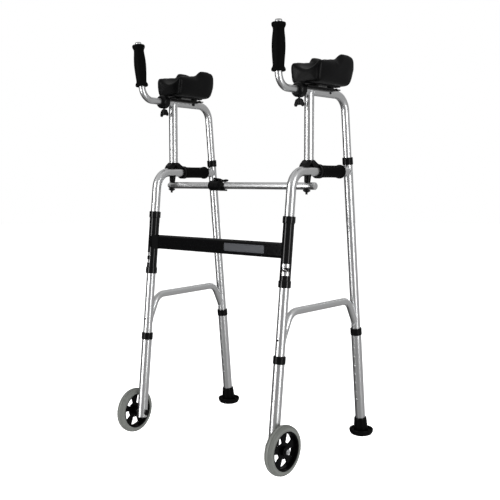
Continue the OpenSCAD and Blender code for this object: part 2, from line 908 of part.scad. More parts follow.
// Spring button: a pin with a foot and a bent leaf, all inside the frame tube.
module snap_button() {
    pin_r = (hole_d - button_gap) / 2;
    inner = frame_r - tube_wall;
    tip = leg_r + 2.6;
    color("gainsboro") {
        rotate([-90, 0, 0]) {
            translate([0, 0, inner - 3])
                rotate_extrude()
                    polygon([[0, 0], [pin_r, 0], [pin_r, tip - inner + 1.6], [pin_r - 1.2, tip - inner + 3], [0, tip - inner + 3]]);
            translate([0, 0, inner - 3.4])
                cylinder(h = 1.4, r = pin_r + 0.7);
        }
        translate([-3, 0, 0])
            rotate([90, 0, 90])
                linear_extrude(height = 6)
                    polygon([[inner - 3.2, -3.5], [inner - 2.4, -3.5], [inner - 2.4, 4], [-inner + 5.8, 30],
                        [-inner + 5, 30], [inner - 3.2, 3.8]]);
    }
}

// Folding bar: two halves that meet in a clasp left of the middle.
module on_bar(x) {
    translate([x, front_y + pivot_y * cos(splay), bar_z])
        rotate([-rake, 0, 0])
            rotate([0, 90, 0])
                children();
}

function pivot_x() = leg_span / 2 + pivot_y * sin(splay);

module pivot_bores() {
    on_right()
        on_pivot()
            translate([0, 0, -30])
                cylinder(h = 60, d = pivot_d + 2 * slide_gap);
    on_left()
        on_pivot()
            translate([0, 0, -30])
                cylinder(h = 60, d = pivot_d + 2 * slide_gap);
}

clasp_r = bar_r + 5;
clasp_end = joint_x - joint_gap;
left_end = 12;
right_end = 24;
cap_l = 4;

module left_bar() {
    start = -pivot_x();
    length = clasp_end - 6 - start;
    color("silver")
        difference() {
            union() {
                on_bar(start)
                    ring(length, bar_r, bar_r - tube_wall);
                on_bar(start - left_end + bar_r / 2)
                    cylinder(h = left_end - bar_r / 2 + bar_r, r = bar_r);
                on_bar(start - left_end)
                    cylinder(h = bar_r / 2, r1 = bar_r * 0.7, r2 = bar_r);
            }
            pivot_bores();
        }
}

module right_bar() {
    start = joint_x + bar_r - cap_l;
    length = pivot_x() + right_end - start;
    color("silver")
        difference() {
            on_bar(start)
                ring(length, bar_r, bar_r - tube_wall);
            pivot_bores();
        }
}

module bar_caps() {
    nose = joint_x + bar_r - cap_l;
    color("black") {
        on_bar(joint_x)
            rotate_extrude()
                intersection() {
                    translate([0, bar_r])
                        circle(r = bar_r);
                    square([bar_r, nose - joint_x]);
                }
        on_bar(nose)
            cylinder(h = 12, r = bar_r - tube_wall - fit_gap);
        on_bar(pivot_x() + right_end)
            rotate_extrude()
                polygon([[0, 0], [bar_r, 0], [bar_r, 1.5], [bar_r - 2, 4], [0, 4]]);
        on_bar(pivot_x() + right_end - 8)
            cylinder(h = 8, r = bar_r - tube_wall - fit_gap);
    }
}

// Clasp body with its fixed lower lip, and the lever that makes the upper lip.
module clasp_frame() {
    translate([0, front_y + pivot_y * cos(splay), bar_z])
        rotate([-rake, 0, 0])
            children();
}

lever_pin_r = 2;
lever_x = clasp_end - 16;
lever_z = bar_r + 7.5;

module clasp_body() {
    lip_t = 4.2;
    color("black")
        difference() {
            union() {
                on_bar(clasp_end - clasp_l)
                    rotate_extrude()
                        polygon([[0, 0], [clasp_r - 2, 0], [clasp_r, 2], [clasp_r, clasp_l - 2], [clasp_r - 2, clasp_l], [0, clasp_l]]);
                clasp_frame()
                    translate([clasp_end - 8, -8, -bar_r - lip_gap - lip_t])
                        cube([joint_gap + lip_l + 8, 16, lip_t]);
                intersection() {
                    on_bar(joint_x + 1)
                        ring(lip_l - 1, bar_r + lip_gap + lip_t, bar_r + lip_gap);
                    clasp_frame()
                        translate([joint_x, -2 * bar_r, -2 * bar_r])
                            cube([lip_l, 2 * bar_r - 3, 2 * bar_r + 6]);
                }
                clasp_frame()
                    for (y = [-9, 5])
                        translate([lever_x - 5, y, 0])
                            cube([10, 4, lever_z + 4]);
            }
            on_bar(clasp_end - clasp_l - cut)
                cylinder(h = clasp_l - 5, r = bar_r + fit_gap);
            clasp_frame()
                translate([clasp_end - clasp_l + 6, -5.2, bar_r + 2.2])
                    cube([clasp_l, 10.4, clasp_r]);
            clasp_frame()
                translate([lever_x, -10, lever_z])
                    rotate([-90, 0, 0])
                        cylinder(h = 20, r = lever_pin_r + slide_gap);
        }
}

module clasp_lever() {
    low = bar_r + lip_gap;
    tip = joint_x + lip_l + 6;
    color("black")
        clasp_frame()
            difference() {
                union() {
                    translate([0, 4.6, 0])
                        rotate([90, 0, 0])
                            linear_extrude(height = 9.2)
                                polygon([[lever_x - 9, lever_z - 2], [lever_x - 7, lever_z + 3.6], [lever_x + 8, lever_z + 3.4],
                                    [joint_x, low + 5.4], [tip - 3, low + 7.4], [tip, low + 5], [tip - 4, low + 1.6],
                                    [joint_x + 4, low], [clasp_end + 0.6, low + 0.4], [clasp_end + 0.6, bar_r + 2.6],
                                    [clasp_end - 4, bar_r + 2.8],
                                    [lever_x - 3, lever_z - 4.4]]);
                    translate([lever_x, -9, lever_z])
                        rotate([-90, 0, 0])
                            cylinder(h = 18, r = lever_pin_r);
                }
                translate([tip - 5, -10, low + 4.2])
                    rotate([-90, 0, 0])
                        cylinder(h = 20, r = 1.4);
            }
}

cross_bar();
on_left() sleeve(true);  // left_sleeve
on_right() sleeve();  // right_sleeve
on_left() front_tube();  // left_front_tube
on_right() front_tube();  // right_front_tube
on_left() rear_tube();  // left_rear_tube
on_right() rear_tube();  // right_rear_tube
on_left() side_brace();  // left_side_brace
on_right() side_brace();  // right_side_brace
on_left() hand_grip();  // left_hand_grip
on_right() hand_grip();  // right_hand_grip
on_left() saddle();  // left_saddle
on_right() saddle();  // right_saddle
on_left() pivot_bolt();  // left_pivot_bolt
on_right() pivot_bolt();  // right_pivot_bolt
on_left() pivot_spacer();  // left_pivot_spacer
on_right() pivot_spacer();  // right_pivot_spacer
on_left() post_collar();  // left_post_collar
on_right() post_collar();  // right_post_collar
on_left() arm_frame();  // left_arm_frame
on_right() arm_frame();  // right_arm_frame
on_left() pad_bracket();  // left_pad_bracket
on_right() pad_bracket();  // right_pad_bracket
on_left() arm_pad();  // left_arm_pad
on_right() arm_pad();  // right_arm_pad
on_left() screws();  // left_screws
on_right() screws();  // right_screws
on_left_turned() clamp_collar();  // left_clamp_collar
on_right() clamp_collar();  // right_clamp_collar
on_left_turned() wing_screw();  // left_wing_screw
on_right() wing_screw();  // right_wing_screw
on_left_turned() handle_tube();  // left_handle_tube
on_right() handle_tube();  // right_handle_tube
on_left_turned() handle_grip();  // left_handle_grip
on_right() handle_grip();  // right_handle_grip
on_left() front_leg();  // left_front_leg
on_right() front_leg();  // right_front_leg
on_left() on_front_leg(front_leg_top) leg_collar();  // left_front_leg_collar
on_right() on_front_leg(front_leg_top) leg_collar();  // right_front_leg_collar
on_left() axle();  // left_axle
on_right() axle();  // right_axle
on_left() tyre();  // left_tyre
on_right() tyre();  // right_tyre
on_left() wheel_hub();  // left_wheel_hub
on_right() wheel_hub();  // right_wheel_hub
on_left() rear_leg();  // left_rear_leg
on_right() rear_leg();  // right_rear_leg
on_left() on_rear_leg(rear_leg_top) leg_collar();  // left_rear_leg_collar
on_right() on_rear_leg(rear_leg_top) leg_collar();  // right_rear_leg_collar
on_left() foot();  // left_foot
on_right() foot();  // right_foot
on_left() on_front_leg(button_z) snap_button();  // left_front_button
on_right() on_front_leg(button_z) snap_button();  // right_front_button
on_left() on_rear_leg(button_z) rotate([0, 0, 180]) snap_button();  // left_rear_button
on_right() on_rear_leg(button_z) rotate([0, 0, 180]) snap_button();  // right_rear_button
left_bar();
clasp_body();
clasp_lever();
right_bar();
bar_caps();
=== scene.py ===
import json
import math
import bmesh
import bpy
from bpy.props import FloatProperty, FloatVectorProperty, IntProperty, PointerProperty
from mathutils import Matrix, Vector


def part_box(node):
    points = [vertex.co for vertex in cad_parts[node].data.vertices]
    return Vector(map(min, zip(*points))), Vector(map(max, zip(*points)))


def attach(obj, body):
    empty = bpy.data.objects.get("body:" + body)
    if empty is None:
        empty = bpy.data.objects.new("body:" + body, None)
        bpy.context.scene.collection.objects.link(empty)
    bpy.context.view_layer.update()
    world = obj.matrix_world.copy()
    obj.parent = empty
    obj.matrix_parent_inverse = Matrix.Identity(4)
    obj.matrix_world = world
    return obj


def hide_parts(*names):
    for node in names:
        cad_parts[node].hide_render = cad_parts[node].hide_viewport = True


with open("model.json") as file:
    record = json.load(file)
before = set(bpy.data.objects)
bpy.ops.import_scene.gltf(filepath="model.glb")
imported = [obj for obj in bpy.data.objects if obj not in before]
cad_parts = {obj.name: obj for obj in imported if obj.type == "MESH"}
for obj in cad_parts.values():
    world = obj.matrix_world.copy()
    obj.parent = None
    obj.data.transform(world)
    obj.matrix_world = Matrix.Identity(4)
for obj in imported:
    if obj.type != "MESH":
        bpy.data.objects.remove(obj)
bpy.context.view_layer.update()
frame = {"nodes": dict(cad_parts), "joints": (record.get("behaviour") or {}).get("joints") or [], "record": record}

bl_info = {
    "name": "Upright walker",
    "version": (1, 0, 0),
    "blender": (4, 5, 0),
    "location": "3D View > Sidebar > Walker",
    "description": "Finishes, pads, grips, welds, tread and stage of a folding upright walker",
    "category": "Object",
}

MM = 0.001
SIDES = (("left", -1), ("right", 1))
JOINTS = {j["name"]: j for j in frame["joints"]}


def side_plane():
    """The right side frame's plane: the front leg's foot, the ways out and back, and the legs' lean."""
    axis = Vector(JOINTS["right_fold"]["axis"]).normalized()
    at = Vector(JOINTS["right_fold"]["pos_m"])
    back = Vector(JOINTS["right_clamp_swivel"]["axis"]).normalized()
    return at - axis * (at.z / axis.z), Vector((back.y, -back.x, 0)), back, axis.dot(back) / axis.z


LEG_FOOT, OUT, BACK, LEAN = side_plane()

# Places in a side frame's plane: Y goes back from the front leg's foot, Z goes up from the floor.
LEG_BASE = 403 * MM
WHEEL_R = JOINTS["right_wheel_spin"]["pos_m"][2]
LEG_BELOW_AXLE = 14 * MM
BRACE_FRONT_Z = 315 * MM
BRACE_REAR_Z = 322 * MM
BRACE_TOP_Z = 397 * MM
BRACE_CORNER = 40 * MM
GRIP_Z = 753 * MM
HAND_FRONT = 186.71 * MM
POST_Y = 146.31 * MM
ARM_Z = JOINTS["right_clamp_swivel"]["pos_m"][2]
HANDLE_Y = 23 * MM
HANDLE_TOP = ARM_Z + 159 * MM
UPRIGHT_LOW = ARM_Z + 37 * MM

# Tubes and foam.
LEG_R = 14.1 * MM
FRAME_R = 12.5 * MM
ARM_R = 10.9 * MM
BRACE_R = 9.5 * MM
HANDLE_R = 9.3 * MM
HAND_L = 101 * MM
UPRIGHT_L = 116 * MM
FOAM_FIT = 0.1 * MM

# Tyres: the wheel's place along the axle, the round of the tread, and where its ribs lie, in degrees.
WHEEL_X = LEG_R + 17 * MM
TYRE_CROWN = 14 * MM
TREAD_PROUD = 0.05 * MM
RIB_START = 27
RIB_SWEEP = 27
# Section of a tyre's lip, as (radius, off the tyre's middle).
LIP = ((50.0 * MM, 11.6 * MM), (50.2 * MM, 12.5 * MM), (51.2 * MM, 12.9 * MM), (52.3 * MM, 12.5 * MM),
       (52.6 * MM, 11.6 * MM))

# The plate's rim, from the sunk face to the back, as (in from the outline, out from the bar).
PLATE_RIM = ((2.2 * MM, 0.4 * MM), (1.6 * MM, 1.1 * MM), (0.8 * MM, 1.1 * MM), (0, 0.3 * MM), (0, -0.5 * MM))

# Edges over this angle stay sharp, in degrees.
SMOOTH_ANGLE = 40
# Frames that the pads' filling takes to settle.
FILL_FRAMES = 20

# Soft lights: place, point that they face, width, height and share of the key power.
SOFT_LIGHTS = {
    "left_box": ((-0.81, -2.36, 0.9), (0, 0, 0.6), 0.7, 2.4, 0.55),
    "right_box": ((2.48, -0.36, 0.9), (0, 0, 0.6), 0.6, 2.4, 0.34),
    "top": ((0.3, 0.2, 3.6), (0, 0, 0), 3.0, 3.0, 0.9),
}

# Tones of the studio once round, from behind the part by its left, the camera's side and its right.
STUDIO_TONES = ((0, 0.3), (0.05, 0.1), (0.12, 0.05), (0.3, 0.1), (0.34, 0.3), (0.5, 0.3), (0.6, 0.4),
                (0.88, 0.45), (1, 0.3))
STUDIO_TURN = math.radians(50.5)
ZENITH_TONE = 0.62
ZENITH_RISE = (0.3, 0.7)
FLOOR_R = 14
FLOOR_GLOW = 0.85


def spot(sign, x, y, z):
    """A place of one side frame's plane, with x out of the plane, as a point of the shared frame."""
    p = LEG_FOOT + OUT * x + BACK * y + Vector((0, 0, z))
    return Vector((sign * p.x, p.y, p.z))


def on_axle(sign, start, way):
    """Gives places round a front axle: x up, y back, t along it from start, outwards where way is 1."""
    return lambda x, y, t: spot(sign, start + way * t, LEAN * WHEEL_R + y, WHEEL_R + x)


def on_handle(side, sign, start):
    """Gives places round an upright handle, t up from start. The handle is turned about the top tube."""
    axis = Vector(JOINTS[f"{side}_wing_turn"]["axis"])
    turn = math.atan2(axis.dot(Vector((sign * OUT.x, OUT.y, 0))), axis.z)

    def at(x, y, t):
        up = start + t - ARM_Z
        return spot(sign, x * math.cos(turn) + up * math.sin(turn), HANDLE_Y + y,
                    ARM_Z + up * math.cos(turn) - x * math.sin(turn))
    return at


def colour_prop(name, description, default):
    return FloatVectorProperty(name=name, description=description, default=default, subtype="COLOR", size=4,
                               min=0, max=1)


def length_prop(name, description, default):
    return FloatProperty(name=name, description=description, default=default, min=0, unit="LENGTH")


class WalkerFinish(bpy.types.PropertyGroup):
    tube_colour: colour_prop("Tube", "Colour of the aluminium tubes", (0.78, 0.785, 0.79, 1))
    tube_roughness: FloatProperty(name="Tube roughness", description="How satin the tubes are", default=0.32,
                                  min=0, max=1)
    black_colour: colour_prop("Black", "Colour of the painted and plastic parts", (0.001, 0.001, 0.0012, 1))
    pad_colour: colour_prop("Pads", "Colour of the forearm pads", (0.001, 0.001, 0.0012, 1))
    foam_colour: colour_prop("Foam", "Colour of the foam grips and the feet", (0.0015, 0.0015, 0.0015, 1))
    tyre_colour: colour_prop("Tyre", "Colour of the tyres", (0.145, 0.151, 0.14, 1))
    plate_colour: colour_prop("Plate", "Colour of the bare plate on the cross bar", (0.05, 0.052, 0.058, 1))


class WalkerSizes(bpy.types.PropertyGroup):
    pad_voxel: length_prop("Pad voxel", "Cell of the pads' skin", 4 * MM)
    pad_swell: length_prop("Pad swell", "How far the filling may push the skin", 3 * MM)
    hand_foam: length_prop("Hand grip", "Radius of the foam on the hand grips", 16.5 * MM)
    upright_foam: length_prop("Upright grip", "Radius of the foam on the upright handles", 17 * MM)
    weld_radius: length_prop("Weld radius", "Radius of a weld bead", 1.7 * MM)
    weld_pitch: length_prop("Weld pitch", "Distance from bead to bead", 1.3 * MM)
    tread_ribs: IntProperty(name="Tread ribs", description="Ribs round each tyre", default=108, min=12)
    rib_width: length_prop("Rib width", "Width of a tread rib", 1.4 * MM)
    rib_height: length_prop("Rib height", "Height of a tread rib's section, half of it sunk", 0.6 * MM)
    plate_start: length_prop("Plate start", "Distance from the cross bar's middle to the plate", 38 * MM)
    plate_length: length_prop("Plate length", "Length of the bare plate", 136 * MM)
    plate_height: length_prop("Plate height", "Height of the bare plate", 21 * MM)
    plate_corner: length_prop("Plate corner", "Corner radius of the bare plate", 4 * MM)


class WalkerStage(bpy.types.PropertyGroup):
    lens: FloatProperty(name="Lens", description="Focal length of the camera", default=55.85,
                        subtype="DISTANCE_CAMERA")
    shift: FloatProperty(name="Shift", description="Upward shift of the camera's frame", default=-0.0134)
    camera_place: FloatVectorProperty(name="Camera", description="Place of the camera",
                                      subtype="TRANSLATION", default=(1.398, -1.679, 0.730))
    camera_turn: FloatVectorProperty(name="Turn", description="Turn of the camera", subtype="EULER",
                                     default=(math.radians(85.35), 0, math.radians(39.52)))
    world_strength: FloatProperty(name="Surround", description="Strength of the studio's light all round",
                                  default=0.85, min=0)
    key_power: FloatProperty(name="Key", description="Power that the soft lights share", default=70, min=0,
                             unit="POWER")


# Node groups.
def new_group(name, kind, inputs, output):
    """An empty group: inputs are (name, socket type, value or None), its output is (name, socket type)."""
    tree = bpy.data.node_groups.new(name, kind)
    for label, socket, value in inputs:
        made = tree.interface.new_socket(label, in_out="INPUT", socket_type=f"NodeSocket{socket}")
        if value is not None:
            made.default_value = value
    label, socket = output
    tree.interface.new_socket(label, in_out="OUTPUT", socket_type=f"NodeSocket{socket}")
    return tree


def grain_group():
    """Shared effect: fine grain as a bump, with a size and a depth."""
    name = "Fine grain"
    if name in bpy.data.node_groups:
        return bpy.data.node_groups[name]
    inputs = (("Size", "Float", 1200), ("Depth", "Float", 0.1), ("Detail", "Float", 2))
    tree = new_group(name, "ShaderNodeTree", inputs, ("Normal", "Vector"))
    make, link = tree.nodes.new, tree.links.new
    inp, out = make("NodeGroupInput"), make("NodeGroupOutput")
    place, noise = make("ShaderNodeTexCoord"), make("ShaderNodeTexNoise")
    bump = make("ShaderNodeBump")
    bump.inputs["Distance"].default_value = 0.4 * MM
    link(place.outputs["Object"], noise.inputs["Vector"])
    link(inp.outputs["Size"], noise.inputs["Scale"])
    link(inp.outputs["Detail"], noise.inputs["Detail"])
    link(noise.outputs["Fac"], bump.inputs["Height"])
    link(inp.outputs["Depth"], bump.inputs["Strength"])
    link(bump.outputs["Normal"], out.inputs["Normal"])
    return tree


def haze_group():
    """Shared effect: a roughness that wanders a little, as on drawn and polished tube."""
    name = "Drawn haze"
    if name in bpy.data.node_groups:
        return bpy.data.node_groups[name]
    inputs = (("Roughness", "Float", 0.2), ("Spread", "Float", 0.05), ("Size", "Float", 60))
    tree = new_group(name, "ShaderNodeTree", inputs, ("Roughness", "Float"))
    make, link = tree.nodes.new, tree.links.new
    inp, out = make("NodeGroupInput"), make("NodeGroupOutput")
    place, stretch = make("ShaderNodeTexCoord"), make("ShaderNodeMapping")
    stretch.inputs["Scale"].default_value = (6, 6, 0.6)
    noise, centre, wander = make("ShaderNodeTexNoise"), make("ShaderNodeMath"), make("ShaderNodeMath")
    centre.operation = "SUBTRACT"
    centre.inputs[1].default_value = 0.5
    wander.operation = "MULTIPLY_ADD"
    link(place.outputs["Object"], stretch.inputs["Vector"])
    link(stretch.outputs["Vector"], noise.inputs["Vector"])
    link(inp.outputs["Size"], noise.inputs["Scale"])
    link(noise.outputs["Fac"], centre.inputs[0])
    link(centre.outputs[0], wander.inputs[0])
    link(inp.outputs["Spread"], wander.inputs[1])
    link(inp.outputs["Roughness"], wander.inputs[2])
    link(wander.outputs[0], out.inputs["Roughness"])
    return tree


# Finishes.
def finish_of(name, colour, roughness, metallic=0.0, specular=0.5, grain=None, haze=None):
    """A finish: a plain shader, with fine grain (size, depth) or a wandering haze (spread) on some."""
    made = bpy.data.materials.get(name)
    if made:
        return made
    made = bpy.data.materials.new(name)
    made.use_nodes = True
    nodes, links = made.node_tree.nodes, made.node_tree.links
    shader = nodes["Principled BSDF"]
    shader.inputs["Base Color"].default_value = colour
    shader.inputs["Roughness"].default_value = roughness
    shader.inputs["Metallic"].default_value = metallic
    shader.inputs["Specular IOR Level"].default_value = specular
    if grain:
        node = nodes.new("ShaderNodeGroup")
        node.node_tree = grain_group()
        node.inputs["Size"].default_value, node.inputs["Depth"].default_value = grain
        links.new(node.outputs["Normal"], shader.inputs["Normal"])
    if haze:
        node = nodes.new("ShaderNodeGroup")
        node.node_tree = haze_group()
        node.inputs["Roughness"].default_value = roughness
        node.inputs["Spread"].default_value = haze
        links.new(node.outputs["Roughness"], shader.inputs["Roughness"])
    return made


def finishes():
    """Every finish of the part, by the name that the pieces use."""
    look = bpy.context.scene.walker_finish
    tube, black = look.tube_colour, look.black_colour
    return {
        "tube": finish_of("satin_aluminium", tube, look.tube_roughness, metallic=1, haze=0.02),
        "weld": finish_of("aluminium_weld", (0.7, 0.71, 0.72, 1), 0.34, metallic=1),
        "steel": finish_of("zinc_steel", (0.85, 0.86, 0.87, 1), 0.26, metallic=1),
        "dark_steel": finish_of("blackened_steel", (0.004, 0.004, 0.0045, 1), 0.3, specular=0.12),
        "black_paint": finish_of("gloss_black_paint", black, 0.14, specular=0.3),
        "black_plastic": finish_of("satin_black_plastic", black, 0.3, specular=0.15, grain=(900, 0.04)),
        "hub": finish_of("black_hub_plastic", black, 0.24, specular=0.08, grain=(700, 0.03)),
        "foam": finish_of("foam_grip", look.foam_colour, 0.6, specular=0.04, grain=(1500, 0.35)),
        "pad": finish_of("pad_skin", look.pad_colour, 0.38, specular=0.13, grain=(1100, 0.05)),
        "tyre": finish_of("grey_tyre", look.tyre_colour, 0.42, specular=0.3, grain=(900, 0.06)),
        "foot": finish_of("black_rubber", look.foam_colour, 0.4, specular=0.06, grain=(800, 0.06)),
        "plate": finish_of("bare_plate", look.plate_colour, 0.3, specular=0.3),
    }


# Mesh makers.
def placed(name, data):
    """A new object in the scene, at the origin."""
    obj = bpy.data.objects.new(name, data)
    bpy.context.collection.objects.link(obj)
    return obj


def mesh_of(name, bm):
    mesh = bpy.data.meshes.new(name)
    bm.to_mesh(mesh)
    bm.free()
    return mesh


def piece(name, bm, slot, body, finish=None, smooth=SMOOTH_ANGLE):
    """A finished mesh piece that rides on a body, closed and facing outwards."""
    bmesh.ops.remove_doubles(bm, verts=bm.verts, dist=1e-6)
    bmesh.ops.recalc_face_normals(bm, faces=bm.faces)
    return dress(placed(name, mesh_of(name, bm)), slot, body, finish, smooth)


def dress(obj, slot, body, finish=None, smooth=SMOOTH_ANGLE):
    """Gives a piece its shading, finish and body; the finish is the slot's, unless one is named. Edges over the
    angle stay sharp, unless it is 0.
    """
    mesh = obj.data
    mesh.shade_smooth()
    if smooth:
        mesh.set_sharp_from_angle(angle=math.radians(smooth))
    mesh.materials.clear()
    mesh.materials.append(finishes()[finish or slot])
    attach(obj, body)
    return obj


def bake(obj):
    """Turns the shown shape into the object's own plain mesh."""
    graph = bpy.context.evaluated_depsgraph_get()
    mesh = bpy.data.meshes.new_from_object(obj.evaluated_get(graph))
    obj.modifiers.clear()
    obj.data = mesh


def grow(obj, tree, values):
    """Runs a Geometry Nodes tree on an object, with its inputs given by name, and bakes the result."""
    sockets = {i.name: i.identifier for i in tree.interface.items_tree if i.in_out == "INPUT"}
    nodes = obj.modifiers.new(tree.name, "NODES")
    nodes.node_group = tree
    for name, value in values.items():
        nodes[sockets[name]] = value
    bake(obj)


def lathe(profile, at, around=64):
    """A turned form: profile points are (radius, along), at(x, y, along) gives the place.
    A profile that starts on the axis ends there too."""
    bm = bmesh.new()
    rings = []
    for k in range(around):
        a = 2 * math.pi * k / around
        rings.append([bm.verts.new(at(r * math.cos(a), r * math.sin(a), t)) for r, t in profile])
    n = len(profile)
    for k in range(around):
        one, two = rings[k], rings[(k + 1) % around]
        for i in range(n if profile[0][0] else n - 1):
            j = (i + 1) % n
            bm.faces.new((one[i], one[j], two[j], two[i]))
    return bm


def eased(points, steps=6):
    """Points of a soft line through the given ones."""
    out = []
    last = len(points) - 1
    for i in range(last):
        p0, p1, p2, p3 = (Vector(points[max(0, min(last, k))]) for k in (i - 1, i, i + 1, i + 2))
        for s in range(steps):
            t = s / steps
            out.append(tuple(0.5 * (2 * p1 + (p2 - p0) * t + (2 * p0 - 5 * p1 + 4 * p2 - p3) * t * t
                                    + (3 * p1 - p0 - 3 * p2 + p3) * t ** 3)))
    return out + [tuple(points[-1])]


class WALKER_OT_frame_finish(bpy.types.Operator):
    """Gives every solid of the frame its finish"""
    bl_idname = "walker.frame_finish"
    bl_label = "Frame finish"

    def execute(self, context):
        looks = finishes()
        for part in frame["record"]["subparts"]:
            mesh = frame["nodes"][part["node"]].data
            mesh.materials.clear()
            mesh.materials.append(looks[part["material_slot"]])
        return {"FINISHED"}


class WALKER_OT_pads(bpy.types.Operator):
    """Makes the two filled forearm pads"""
    bl_idname = "walker.pads"
    bl_label = "Forearm pads"

    def execute(self, context):
        sizes = context.scene.walker_sizes
        for side, _ in SIDES:
            name = f"{side}_forearm_pad"
            bm = bmesh.new()
            bm.from_mesh(frame["nodes"][f"{side}_arm_pad"].data)
            bmesh.ops.remove_doubles(bm, verts=bm.verts, dist=1e-5)
            pad = placed(name, mesh_of(name, bm))
            self.skin(pad, sizes.pad_voxel)
            self.fill(context.scene, pad, sizes.pad_swell)
            self.soften(pad)
            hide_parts(f"{side}_arm_pad")
            dress(pad, "pad", f"{side}_frame", smooth=0)
        return {"FINISHED"}

    def skin(self, pad, cell):
        """Covers the pad with even cells."""
        remesh = pad.modifiers.new("Skin", "REMESH")
        remesh.mode = "VOXEL"
        remesh.voxel_size = cell
        bake(pad)
        ease = pad.modifiers.new("Ease", "SMOOTH")
        ease.factor = 0.5
        ease.iterations = 4
        bake(pad)

    def fill(self, scene, pad, reach):
        """Blows the skin up from inside, holds the underside down and caps how far a point moves."""
        start = [v.co.copy() for v in pad.data.vertices]
        low = min(v.z for v in start)
        held_below = low + 3 * MM
        held = pad.vertex_groups.new(name="held")
        held.add([i for i, v in enumerate(start) if v.z < held_below], 1.0, "REPLACE")
        cloth = pad.modifiers.new("Filling", "CLOTH")
        cloth.settings.use_pressure = True
        cloth.settings.uniform_pressure_force = 4
        cloth.settings.quality = 5
        cloth.settings.mass = 0.2
        cloth.settings.tension_stiffness = 20
        cloth.settings.compression_stiffness = 20
        cloth.settings.bending_stiffness = 2
        cloth.settings.vertex_group_mass = "held"
        cloth.settings.effector_weights.gravity = 0
        cloth.point_cache.frame_start = 1
        cloth.point_cache.frame_end = FILL_FRAMES
        for number in range(1, FILL_FRAMES + 1):
            scene.frame_set(number)
        bake(pad)
        scene.frame_set(1)
        pad.vertex_groups.clear()
        for v, was in zip(pad.data.vertices, start):
            step = v.co - was
            if step.length > reach:
                v.co = was + step.normalized() * reach
            v.co.z = max(v.co.z, low)

    def soften(self, pad):
        """Takes the wrinkles out of the skin and makes it finer."""
        calm = pad.modifiers.new("Calm", "SMOOTH")
        calm.factor = 0.5
        calm.iterations = 6
        finer = pad.modifiers.new("Finer", "SUBSURF")
        finer.levels = finer.render_levels = 1
        bake(pad)


class WALKER_OT_grips(bpy.types.Operator):
    """Makes the foam on the hand grips and on the upright handles"""
    bl_idname = "walker.grips"
    bl_label = "Foam grips"

    def execute(self, context):
        sizes = context.scene.walker_sizes
        for side, sign in SIDES:
            self.hand_grip(side, sign, sizes.hand_foam)
            self.upright_grip(side, sign, sizes.upright_foam)
        return {"FINISHED"}

    def hand_grip(self, side, sign, r):
        end, flare, waist = r + 0.5 * MM, r + 2 * MM, r - 0.6 * MM
        outer = [(end, 0.2 * MM), (flare, 1.6 * MM), (flare, 6 * MM), (r + 0.3 * MM, 9 * MM),
                 (r - 0.3 * MM, 20 * MM), (waist, HAND_L / 2), (r - 0.2 * MM, HAND_L - 18 * MM),
                 (r + 0.2 * MM, HAND_L - 11 * MM), (flare, HAND_L - 8 * MM), (flare, HAND_L - 2 * MM),
                 (end, HAND_L - 0.2 * MM)]
        profile = self.hollow(outer, FRAME_R, HAND_L)
        bm = lathe(profile, lambda x, y, t: spot(sign, x, HAND_FRONT + t, GRIP_Z + y))
        obj = piece(f"{side}_hand_foam", bm, "foam", f"{side}_frame", smooth=50)
        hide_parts(f"{side}_hand_grip")

    def upright_grip(self, side, sign, r):
        end, flare, shoulder = r - 0.8 * MM, r + 0.6 * MM, r + 0.5 * MM
        groove, waist, cheek = r - 2.4 * MM, r - 2.5 * MM, 0.18 * UPRIGHT_L
        middle = UPRIGHT_L / 2
        outer = [(end, 0.1 * MM), (flare, 2 * MM), (shoulder, 6 * MM), (groove, 12 * MM), (waist, 18 * MM),
                 (r - 1 * MM, middle - cheek), (r, middle), (r - 0.8 * MM, middle + cheek),
                 (waist, UPRIGHT_L - 21 * MM), (groove, UPRIGHT_L - 14 * MM), (shoulder, UPRIGHT_L - 7 * MM),
                 (flare, UPRIGHT_L - 2 * MM), (end, UPRIGHT_L - 0.1 * MM)]
        bm = lathe(self.hollow(outer, HANDLE_R, UPRIGHT_L), on_handle(side, sign, UPRIGHT_LOW))
        obj = piece(f"{side}_upright_foam", bm, "foam", f"{side}_handle", smooth=50)
        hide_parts(f"{side}_handle_grip")

    def hollow(self, outer, tube_r, length):
        """A grip's profile: a soft outer line, and a bore that fits its tube."""
        bore = tube_r + FOAM_FIT
        return [(bore, 0.1 * MM)] + eased(outer) + [(bore, length - 0.1 * MM)]


